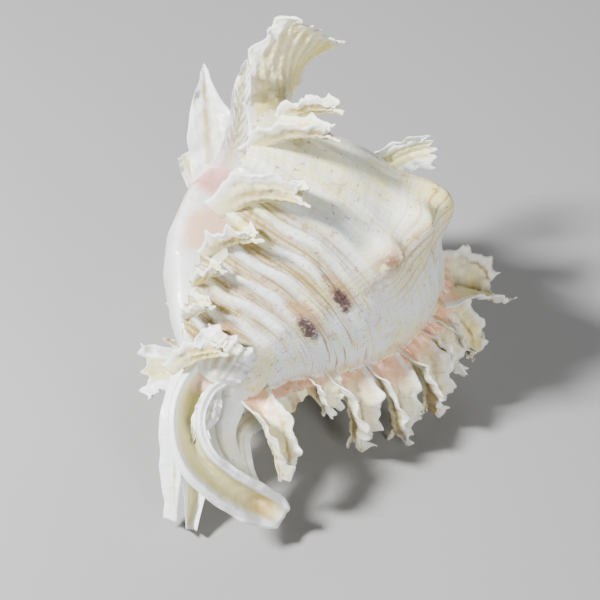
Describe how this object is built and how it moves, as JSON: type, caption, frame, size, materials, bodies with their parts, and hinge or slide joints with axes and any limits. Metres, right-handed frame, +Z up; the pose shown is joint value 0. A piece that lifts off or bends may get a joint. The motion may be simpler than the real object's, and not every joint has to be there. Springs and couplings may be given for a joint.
{
  "type": "ramose murex shell",
  "caption": "Large spiny sea snail shell with leafy fronds along its ridges, an open aperture and a curved canal, resting on its side.",
  "frame": {"origin": "centre of the bounding box's base, on the surface that the shell rests on", "axes": "Z up from the surface; X along the shell's longest extent, with the canal towards +X and the spire towards -X; Y across it"},
  "size_m": [0.209, 0.164, 0.1602],
  "materials": {
    "shell": "satin"
  },
  "bodies": {
    "root": {"shell": "shell"}
  },
  "joints": []
}
